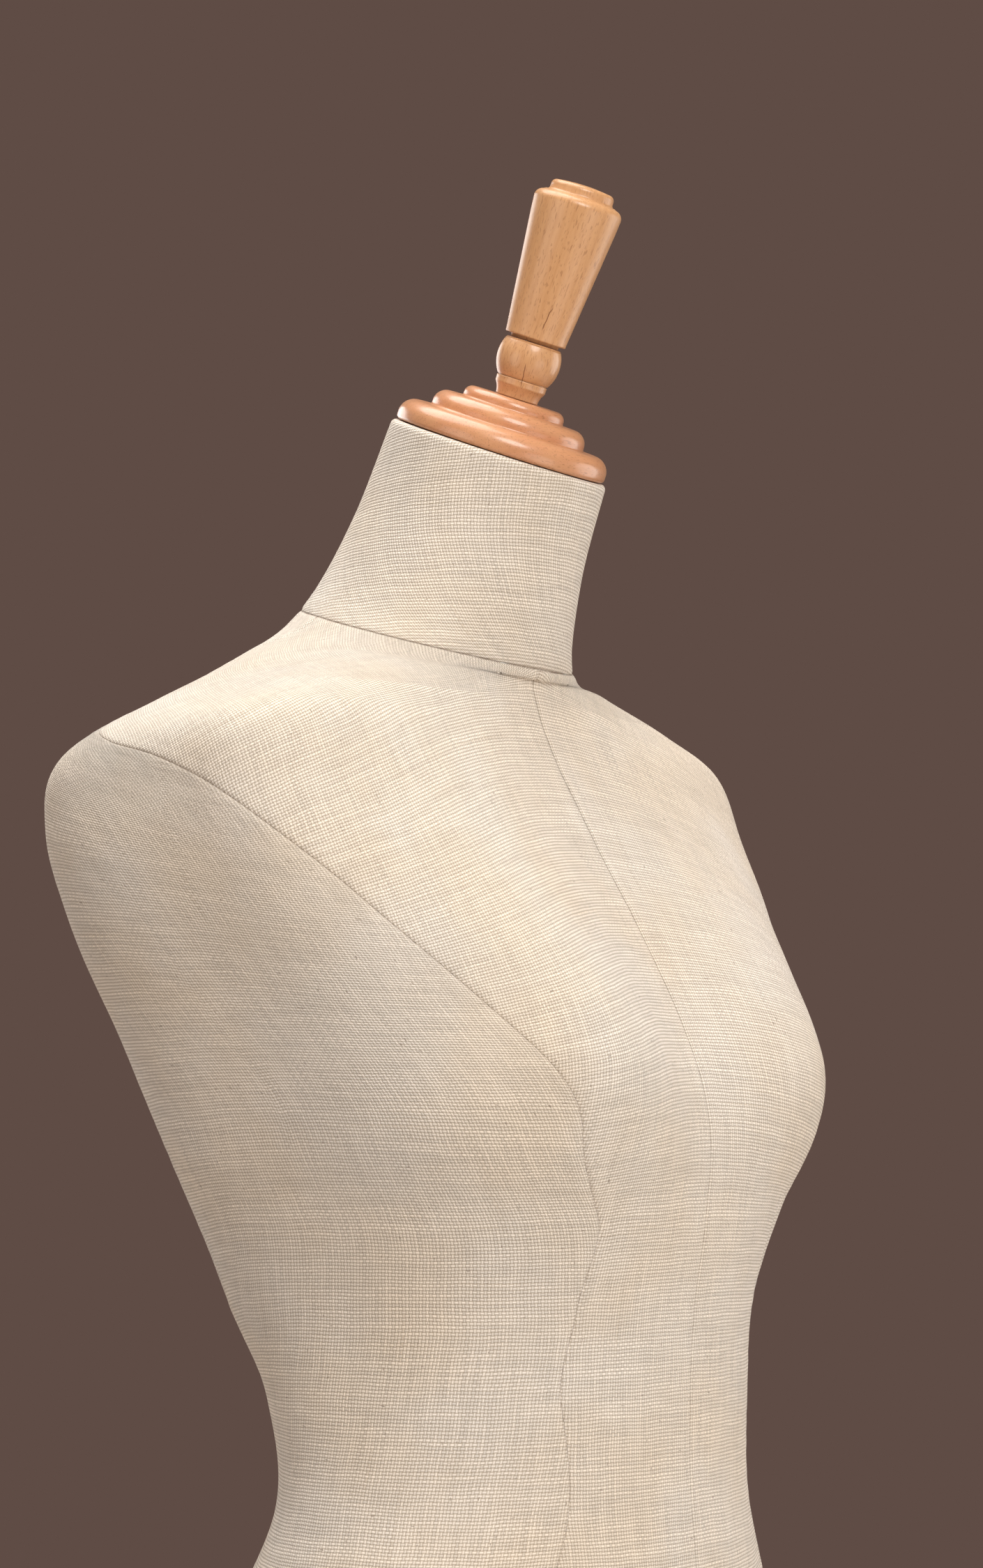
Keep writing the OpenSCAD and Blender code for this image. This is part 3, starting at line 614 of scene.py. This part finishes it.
def seam_relief(distance, along, seed):
    """How far cloth stands off beside a seam: a narrow dip on the seam, a faint step where the turned
    edge ends 9 mm away, and puckers that die out."""
    cloth = bpy.context.scene.form_cloth
    dip = -cloth.seam_depth * np.exp(-((distance / (0.9 * MM)) ** 2))
    allowance = 0.15 * MM * (1 - smooth(8 * MM, 10.5 * MM, distance)) * smooth(1 * MM, 3 * MM, distance)
    ripple = cloth.pucker * waves(along, distance, seed, (7.3 * MM, 9.7 * MM, 13.1 * MM, 21 * MM))
    return dip + allowance + ripple * 1.6 * np.exp(-distance / (7 * MM)) * smooth(0, 2 * MM, distance)


def unevenness(points):
    """Slight swells of the wadding: a few long sine waves through space."""
    rng = np.random.default_rng(5)
    total = np.zeros(points.shape[:-1])
    for _ in range(9):
        direction = rng.normal(size=3)
        direction /= np.linalg.norm(direction)
        length = rng.uniform(45, 130) * MM
        total += np.sin(2 * np.pi * (points @ direction) / length + rng.uniform(0, 2 * np.pi))
    return total * 0.10 * MM


ROWS = 400
PANELS = {
    "front": (lambda u: np.full_like(u, CENTRE_FRONT), front_seam, NECK_U, 84, 0.0, 11),
    "side": (front_seam, back_seam, TIP_U, 84, 0.5, 23),
    "back": (back_seam, lambda u: np.full_like(u, CENTRE_BACK), NECK_U, 84, 1.0, 37),
}


def turn_in(points, normals, axis, radius, inward):
    """Rows that carry an edge round a small radius and then inwards: a quarter turn about a line under
    the edge, then a flat run. Gives the extra rows, outermost first."""
    rows = [points - normals * radius * (1 - math.cos(a)) + axis * radius * math.sin(a)
            for a in np.radians([18, 36, 54, 72, 90])]
    rows += [rows[-1] - normals * inward * k for k in (0.3, 0.65, 1.0)]
    return np.array(rows)


def flat_normals(normals, axis):
    """The normals laid into the plane across an axis, at unit length."""
    n = normals - (normals @ axis)[..., None] * axis
    return n / np.linalg.norm(n, axis=-1, keepdims=True)


def even_angles(u, first, second, fractions):
    """Angles whose points share out a row's length in the given fractions: the length is run along a
    fine row of angles, and the angles are read back from it."""
    fine = first + (second - first) * np.linspace(0, 1, 1801)
    run = arc_length(body_point(u + 0 * fine, fine), 1)
    return np.array([np.interp(fractions * r[-1], r, row) for r, row in zip(run, fine)])


def panel_piece(kind, side, material):
    """One panel of the body's cover. u runs up the rows, and the columns lie across from the panel's
    first seam to its second, each at its fraction of the row's length. A point moves along its normal
    by the relief of the seams and the wadding's swells. side is 1 on the left."""
    first, second, top, columns, grain_at, seed = PANELS[kind]
    u = np.linspace(0.03, top, ROWS)[:, None]
    degrees = even_angles(u, first(u), second(u), edge_steps(columns, 5))
    base = body_point(u + 0 * degrees, degrees)
    normals = body_normal(u + 0 * degrees, degrees)
    along = arc_length(base, 0)
    along = along - along[np.abs(u[:, 0] - WAIST_U).argmin()]
    across = arc_length(base, 1)
    width = across[:, -1:]
    relief = seam_relief(across, along, seed) + seam_relief(width - across, along, seed + 1)
    to_seam = np.minimum(across, width - across)
    seam_run = np.where(across < width - across, along, along + 0.013)
    if top == NECK_U:
        to_neck = along[-1:] - along
        relief += seam_relief(to_neck, across, seed + 2) * smooth(0, 4 * MM, to_seam)
        seam_run = np.where(to_neck < to_seam, across + NECK_RUN, seam_run)
        to_seam = np.minimum(to_seam, to_neck)
    else:
        relief *= smooth(0, 14 * MM, width)
    relief = np.maximum(relief, -bpy.context.scene.form_cloth.seam_depth)
    points = base + normals * (relief + unevenness(base))[..., None]

    down = np.array([0, 0, -1.0])
    hem = turn_in(points[0], flat_normals(normals[0], down), down, 1.8 * MM, 11 * MM)[::-1]
    hem_along = along[0] - np.arange(len(hem), 0, -1)[:, None] * 1.5 * MM
    points = np.concatenate([hem, points])
    along = np.concatenate([hem_along, along])
    across = np.concatenate([np.repeat(across[:1], len(hem), 0), across])
    to_seam = np.concatenate([np.repeat(to_seam[:1], len(hem), 0), to_seam])
    seam_run = np.concatenate([hem_along, seam_run])
    cloth_map = np.stack([side * (across - grain_at * across[:, -1:]), along], -1)
    seam_map = np.stack([to_seam, seam_run], -1)
    flat_area = panel_area(points)

    name = f"cover_{kind}_{'left' if side > 0 else 'right'}"
    faces = grid_faces(points.shape[0], points.shape[1], False)
    if side < 0:
        points = points * np.array([-1, 1, 1])
        faces = faces[:, ::-1]
    piece = make_mesh(f"linen_{kind}_{'left' if side > 0 else 'right'}", points.reshape(-1, 3), faces,
                      {"cloth": cloth_map.reshape(-1, 2), "seam": seam_map.reshape(-1, 2)})
    thicken(piece, bpy.context.scene.form_cloth.thickness)
    finish_piece(piece, material, "form", "linen", name)
    return piece


def panel_area(points):
    """Area of a grid: half the lengths of the cross products of its cells' diagonals, added up."""
    cross = np.cross(points[1:, 1:] - points[:-1, :-1], points[1:, :-1] - points[:-1, 1:])
    return float(np.linalg.norm(cross, axis=-1).sum() / 2)


def wadding_piece(half, material):
    """One half of the wadding, as a closed skin between two depths under the surface. Its columns run
    from side to side over the front or the back, and it stops at the plane of the neck's top."""
    u = np.linspace(0, TOP_U, 200)[:, None]
    side_line = (front_seam(u) + back_seam(u)) / 2
    far_line = -180 - side_line
    first, second = (far_line, side_line) if half == "front" else (side_line, far_line - 360)
    degrees = even_angles(u, first, second, np.linspace(0, 1, 121))
    base, normals = body_point(u + 0 * degrees, degrees), body_normal(u + 0 * degrees, degrees)
    for row, tilt in ((0, 0.0), (-1, math.radians(SECTIONS[-1, 5]))):
        axis = np.array([0, -math.sin(tilt), math.cos(tilt)])
        normals[row] = flat_normals(normals[row], axis)
    outer, inner = base - normals * 2.7 * MM, base - normals * 5.2 * MM
    points = np.concatenate([outer, inner[::-1]])
    piece = make_mesh(f"padding_{half}", points.reshape(-1, 3), loop_faces(points.shape[0], points.shape[1]))
    close_ends(piece)
    finish_piece(piece, material, "form", "wadding", f"wadding_{half}")
    return piece


def loop_faces(rows, columns):
    """Quads of a grid whose last row joins its first."""
    i, j = np.meshgrid(np.arange(rows), np.arange(columns - 1), indexing="ij")
    k = (i + 1) % rows
    return np.stack([i * columns + j, k * columns + j, k * columns + j + 1, i * columns + j + 1],
                    -1).reshape(-1, 4)


def close_ends(piece):
    """Fills the open edges of a flattened tube with a strip of quads across it, and turns the faces
    outwards."""
    work = bmesh.new()
    work.from_mesh(piece.data)
    edges = [e for e in work.edges if e.is_boundary]
    bmesh.ops.holes_fill(work, edges=edges, sides=0)
    bmesh.ops.recalc_face_normals(work, faces=work.faces)
    work.to_mesh(piece.data)
    work.free()


class FORM_OT_cover(bpy.types.Operator):
    """Make the linen panels of the body and the wadding under them"""

    bl_idname = "form.cover"
    bl_label = "Body cover"

    def execute(self, context):
        linen = linen_material("linen")
        for kind in PANELS:
            for side in (1, -1):
                panel_piece(kind, side, linen)
        wadding = plain_material("wadding", (0.86, 0.85, 0.81), (0.72, 0.71, 0.67), 90, 0.85, 900, 0.5 * MM)
        for half in ("front", "back"):
            wadding_piece(half, wadding)
        return {"FINISHED"}


class FORM_OT_neck(bpy.types.Operator):
    """Make the neck's cover, which is one piece with a seam down the back"""

    bl_idname = "form.neck"
    bl_label = "Neck cover"

    def execute(self, context):
        cloth = context.scene.form_cloth
        columns = 260
        u = np.linspace(NECK_U, TOP_U - 0.06, 110)[:, None]
        degrees = (90 - 360 * edge_steps(columns, 3))[None, :]
        rows = u + 0 * degrees
        base, normals = body_point(rows, degrees), body_normal(rows, degrees)
        along, across = arc_length(base, 0), arc_length(base, 1)
        width = across[:, -1:]
        relief = (seam_relief(across, along, 51) + seam_relief(width - across, along, 51)
                  + seam_relief(along, across, 53))
        relief = np.maximum(relief, -cloth.seam_depth)
        points = base + normals * (relief + unevenness(base))[..., None]
        to_back = np.minimum(across, width - across)
        to_seam = np.minimum(to_back, along)
        seam_run = np.where(along < to_back, across + NECK_RUN, along)
        tilt = math.radians(SECTIONS[-1, 5])
        axis = np.array([0, -math.sin(tilt), math.cos(tilt)])
        lip = turn_in(points[-1], flat_normals(normals[-1], axis), axis, 2.6 * MM, 6 * MM)
        points = np.concatenate([points, lip])
        level = (points[..., 2] - WAIST_Z) * 1.04
        seam_run = np.concatenate([seam_run, np.repeat(seam_run[-1:], len(lip), 0)])
        to_seam = np.concatenate([to_seam, np.repeat(to_back[-1:], len(lip), 0)])
        across = np.concatenate([across, np.repeat(across[-1:], len(lip), 0)])
        faces = grid_faces(points.shape[0], points.shape[1], False)
        piece = make_mesh("linen_neck", points.reshape(-1, 3), faces, {
            "cloth": np.stack([across, level], -1).reshape(-1, 2),
            "seam": np.stack([to_seam, seam_run], -1).reshape(-1, 2)})
        thicken(piece, cloth.thickness)
        finish_piece(piece, linen_material("linen_neck"), "form", "linen", "neck_cover")
        area = panel_area(points)
        return {"FINISHED"}


class FORM_OT_underside(bpy.types.Operator):
    """Make the cloth that closes the bottom of the form, sewn down along its folded edge"""

    bl_idname = "form.underside"
    bl_label = "Underside cloth"

    def execute(self, context):
        k = np.linspace(0, 1, 130)[:, None]
        degrees = (90 - 360 * np.linspace(0, 1, 361))[None, :]
        rim, out = body_point(0 * degrees, degrees), body_normal(0 * degrees, degrees)
        out[..., 2] = 0
        out /= np.linalg.norm(out, axis=-1, keepdims=True)
        edge = rim - out * 3.5 * MM
        middle = edge * 16.8 * MM / np.linalg.norm(edge[..., :2], axis=-1)[..., None]
        points = middle + (edge - middle) * (1 - (1 - k) ** 1.5)[..., None]
        from_edge = np.linalg.norm(edge - points, axis=-1)
        run = arc_length(rim, 1) + 0 * k
        fold = 0.25 * MM * (1 - smooth(6 * MM, 8 * MM, from_edge))
        stitched = 0.3 * MM * np.exp(-(((from_edge - 3 * MM) / (0.8 * MM)) ** 2))
        ripple = 0.22 * MM * waves(run, from_edge, 71, (11 * MM, 17 * MM, 31 * MM))
        ripple *= np.exp(-from_edge / (25 * MM))
        points[..., 2] = HEM_Z - 1.15 * MM - fold + stitched + ripple
        points[-1, :, 2] = HEM_Z - 0.9 * MM
        seam_map = np.stack([abs(from_edge - 3 * MM), run + NECK_RUN], -1)
        piece = make_mesh("linen_under", points.reshape(-1, 3), grid_faces(*points.shape[:2], False), {
            "cloth": points[..., :2].reshape(-1, 2), "seam": seam_map.reshape(-1, 2)})
        thicken(piece, context.scene.form_cloth.thickness)
        finish_piece(piece, linen_material("linen_under"), "form", "linen", "underside_cloth")
        flat = [float(np.ptp(points[..., axis])) for axis in (0, 1)]
        panel_area(points)
        return {"FINISHED"}


# ---- Turned wood ----------------------------------------------------------------------------------
NECK_TILT = math.radians(SECTIONS[-1, 5])
NECK_PLACE = Matrix.Translation((0, SECTIONS[-1, 4] * MM, WAIST_Z + SECTIONS[-1, 0] * MM)) @ Matrix.Rotation(
    NECK_TILT, 4, "X")


def mm(points):
    """Points in millimetres as metres."""
    return [(r * MM, z * MM) for r, z in points]


class FORM_OT_turnery(bpy.types.Operator):
    """Turn the neck cap, the ball and the handle"""

    bl_idname = "form.turnery"
    bl_label = "Neck cap and handle"

    def execute(self, context):
        gap, r0, r1, r2 = 1.5, 50.5, 36.8, 24.2
        z1, z2, z3 = gap + 11, gap + 19.5, gap + 25
        cap = ([(0, gap)] + straight((4, gap), (r0 - 2, gap), 6) + arc(r0 - 2, gap + 2, 2, -90, 0, 6)
               + arc(r0 - 7.5, z1 - 7.5, 7.5, 6, 90, 16) + straight((r0 - 9, z1), (r1 + 1.4, z1), 3)
               + arc(r1 + 1.2, z1 + 1.2, 1.2, 270, 180, 5) + arc(r1 - 6.5, z2 - 6.5, 6.5, 4, 90, 14)
               + straight((r1 - 8, z2), (r2 + 1.2, z2), 3) + arc(r2 + 1, z2 + 1, 1, 270, 180, 5)
               + arc(r2 - 4, z3 - 4, 4, 4, 90, 12) + straight((r2 - 6, z3), (2, z3), 4) + [(0, z3)])
        ball_low = z3 + 9
        ball_high = ball_low + 18
        middle = ball_low + 9.9
        k = np.linspace(0, 1, 12)
        stem = list(zip(10.05 + 1.95 * k**2, z3 + 0.2 + 5.8 * k))
        z = np.linspace(ball_low + 0.4, ball_high - 0.6, 30)
        round_part = list(zip(15 * np.sqrt(1 - 1.25 * ((z - middle) / 18) ** 2), z))
        ball = ([(0, z3 + 0.2), (5, z3 + 0.2)] + stem + [(12, z3 + 6.4), (12, ball_low - 1.1)]
                + arc(11.6, ball_low - 0.6, 0.5, -10, 80, 4) + [(11.2, ball_low)] + round_part
                + arc(12.3, ball_high - 1.0, 1.0, 20, 90, 5) + [(6, ball_high), (0, ball_high)])
        foot = ball_high + 0.2
        shoulder = foot + 67
        handle = ([(0, foot), (6, foot), (11.4, foot), (11.6, foot + 1.4), (13.7, foot + 1.5)]
                  + arc(13.8, foot + 2.2, 0.7, -80, 0, 4)
                  + straight((14.5, foot + 3), (20.9, shoulder - 4), 14)
                  + arc(16.9, shoulder - 2.2, 4.05, 2, 78, 12) + [(16.7, shoulder + 2.3)]
                  + arc(16.4, shoulder + 3.6, 1.3, 265, 190, 4) + arc(12.6, shoulder + 5.2, 2.4, 0, 72, 9)
                  + [(10.4, shoulder + 7.9), (6, shoulder + 8.3), (2, shoulder + 8.5), (0, shoulder + 8.5)])
        at = tuple(NECK_PLACE.translation)
        cap_wood = beech_material("beech_cap", at, NECK_TILT, True, (0.02, 0.11))
        ball_wood = beech_material("beech_ball", at, NECK_TILT, False, (0.03, 0.025),
                                   ((-10.9 * MM, -7 * MM, 38 * MM), math.radians(-57), 0.05), 0.8)
        handle_wood = beech_material("beech_handle", at, NECK_TILT, False, (0.045, -0.03),
                                     ((-11.6 * MM, -10.7 * MM, 66 * MM), math.radians(-47), -0.11), 0.3)
        for name, profile, wood in (("neck_cap", cap, cap_wood), ("finial_ball", ball, ball_wood),
                                    ("finial_handle", handle, handle_wood)):
            piece = profile_mesh(f"turned_{name}", mm(profile), NECK_PLACE, 160)
            finish_piece(piece, wood, "form", "beech", name)
        return {"FINISHED"}


# ---- Metal and hidden parts -----------------------------------------------------------------------
def dress_nodes(material, names):
    """Gives carried-over parts their material."""
    for name in names:
        NODES[name].data.materials.clear()
        NODES[name].data.materials.append(material)


class FORM_OT_fittings(bpy.types.Operator):
    """Give the metal, rubber, board and moulded parts their finishes"""

    bl_idname = "form.fittings"
    bl_label = "Fittings"

    def execute(self, context):
        steel = metal_material("brushed_steel", (0.62, 0.62, 0.63), 0.34, (1, 1, 0.03))
        zinc = metal_material("zinc_plate", (0.60, 0.61, 0.62), 0.42, (1, 1, 1), (0.42, 0.40, 0.34), 0.45)
        black = metal_material("black_oxide", (0.10, 0.10, 0.105), 0.45, (1, 1, 1), (0.16, 0.12, 0.09), 0.5)
        brass = metal_material("aged_brass", (0.66, 0.47, 0.19), 0.34, (1, 1, 0.3), (0.36, 0.22, 0.08), 0.5)
        rubber = plain_material("black_rubber", (0.035, 0.035, 0.036), (0.06, 0.058, 0.055), 120, 0.7,
                                1500, 0.1 * MM)
        nylon = plain_material("nylon", (0.80, 0.79, 0.73), (0.74, 0.72, 0.65), 80, 0.45, 900, 0.05 * MM)
        board = plain_material("plywood", (0.64, 0.46, 0.27), (0.52, 0.34, 0.18), 160, 0.7,
                               900, 0.2 * MM, (1, 0.1, 8))
        moulding = plain_material("fibreglass", (0.55, 0.44, 0.26), (0.42, 0.32, 0.17), 70, 0.5,
                                  500, 0.3 * MM)
        dress_nodes(steel, ["pole", "clamp_screw"])
        dress_nodes(zinc, ["socket_flange", "flange_bolts", "flange_nuts", "finial_stud", "stud_washer",
                           "stud_nut", "board_screws", "plug_screws"])
        dress_nodes(black, ["retaining_screw", "sleeve_tube"])
        dress_nodes(brass, ["clamp_collar", "collar_screws", "pressure_pad"])
        dress_nodes(rubber, ["pole_end_plug", "foot_front", "foot_left", "foot_right"])
        dress_nodes(nylon, ["thrust_disc", "guide_bush"])
        dress_nodes(board, ["base_board", "neck_plug", "leg_dowels"])
        dress_nodes(moulding, ["shell_front", "shell_back"])
        stand_wood = beech_material("beech_stand", (0, 0, 0), 0.0, False, (0.06, 0.04))
        dress_nodes(stand_wood, ["column", "clamp_knob", "bottom_button",
                                 "leg_front", "leg_left", "leg_right"])
        return {"FINISHED"}


# ---- Stage ----------------------------------------------------------------------------------------
def area_light(name, place, target, size, watts, colour=(1, 1, 1)):
    """A soft square light that points at a target."""
    data = bpy.data.lights.new(name, "AREA")
    data.shape = "DISK"
    data.size = size
    data.energy = watts
    data.color = colour
    lamp = bpy.data.objects.new(name, data)
    lamp.location = place
    lamp.rotation_mode = "QUATERNION"
    lamp.rotation_quaternion = (Vector(target) - Vector(place)).to_track_quat("-Z", "Y")
    bpy.context.scene.collection.objects.link(lamp)


class FORM_OT_stage(bpy.types.Operator):
    """Lay the floor, set the lights and place the camera"""

    bl_idname = "form.stage"
    bl_label = "Stage"

    def execute(self, context):
        stage = context.scene.form_stage
        s = Shade("floor")
        tone = s.noise(s.object_point(), 3, 4)
        floor_colour = tuple(stage.floor)
        paler = tuple(c * 1.06 for c in floor_colour)
        s.surface(Base_Color=s.mix(tone, floor_colour, paler), Roughness=0.85)
        floor = profile_mesh("floor", [(0, -0.02), (2.3, -0.02), (2.3, -0.006), (2.294, 0), (1.2, 0), (0, 0)],
                             Matrix.Identity(4), 160)
        floor.data.materials.append(s.material)

        world = bpy.data.worlds.new("surround")
        world.use_nodes = True
        background = world.node_tree.nodes["Background"]
        background.inputs["Color"].default_value = (*stage.surround, 1)
        background.inputs["Strength"].default_value = 1
        context.scene.world = world
        context.scene.view_settings.view_transform = "Standard"

        chest = (0, 0, WAIST_Z + 0.15)
        area_light("key", (-1.5, -2.2, WAIST_Z + 1.9), chest, 1.6, 74, (1, 0.985, 0.96))
        area_light("top", (-0.2, 0.3, WAIST_Z + 2.3), chest, 2.2, 56, (1, 0.99, 0.975))
        area_light("fill_left", (-3.0, 0.9, WAIST_Z + 0.3), chest, 2.4, 22, (1, 0.97, 0.94))
        area_light("fill_right", (2.6, -1.9, WAIST_Z + 0.2), chest, 2.4, 36, (1, 0.97, 0.94))
        area_light("back", (1.2, 2.8, WAIST_Z + 1.0), chest, 2.0, 30, (1, 0.98, 0.96))
        area_light("low", (-0.6, -2.4, 0.35), (0, 0, 0.5), 1.6, 14, (1, 0.97, 0.94))

        data = bpy.data.cameras.new("camera")
        data.sensor_width = 36
        data.lens = stage.focal_length
        camera = bpy.data.objects.new("camera", data)
        a = stage.azimuth
        camera.location = (math.sin(a) * stage.distance, -math.cos(a) * stage.distance,
                           WAIST_Z + stage.height)
        # A level camera that looks at the axis, then turned by its yaw, pitch and roll.
        camera.rotation_mode = "QUATERNION"
        level = Matrix.Rotation(a + stage.yaw, 4, "Z") @ Matrix.Rotation(math.pi / 2 + stage.pitch, 4, "X")
        camera.rotation_quaternion = (level @ Matrix.Rotation(stage.roll, 4, "Z")).to_quaternion()
        context.scene.collection.objects.link(camera)
        context.scene.camera = camera
        return {"FINISHED"}


class FORM_PT_panel(bpy.types.Panel):
    """Buttons and settings for the dress form"""

    bl_idname = "FORM_PT_panel"
    bl_label = "Dress form"
    bl_space_type = "VIEW_3D"
    bl_region_type = "UI"
    bl_category = "Dress form"

    def draw(self, context):
        for operator in OPERATORS:
            self.layout.operator(operator.bl_idname)
        for name, group in SETTINGS.items():
            box = self.layout.box()
            for key in group.__annotations__:
                box.prop(getattr(context.scene, name), key)


OPERATORS = [FORM_OT_stage, FORM_OT_cover, FORM_OT_neck, FORM_OT_underside, FORM_OT_turnery,
             FORM_OT_fittings]
SETTINGS = {"form_cloth": ClothSettings, "form_wood": WoodSettings, "form_stage": StageSettings}


def register():
    """Registers the classes and hangs the settings on the scene."""
    for made in (*SETTINGS.values(), *OPERATORS, FORM_PT_panel):
        bpy.utils.register_class(made)
    for name, group in SETTINGS.items():
        setattr(bpy.types.Scene, name, bpy.props.PointerProperty(type=group))


def unregister():
    """Takes the settings and classes away again."""
    for name in SETTINGS:
        delattr(bpy.types.Scene, name)
    for made in reversed((*SETTINGS.values(), *OPERATORS, FORM_PT_panel)):
        bpy.utils.unregister_class(made)


def main():
    """Makes every piece in order."""
    register()
    for operator in OPERATORS:
        family, action = operator.bl_idname.split(".")
        getattr(getattr(bpy.ops, family), action)()


if __name__ == "__main__":
    main()
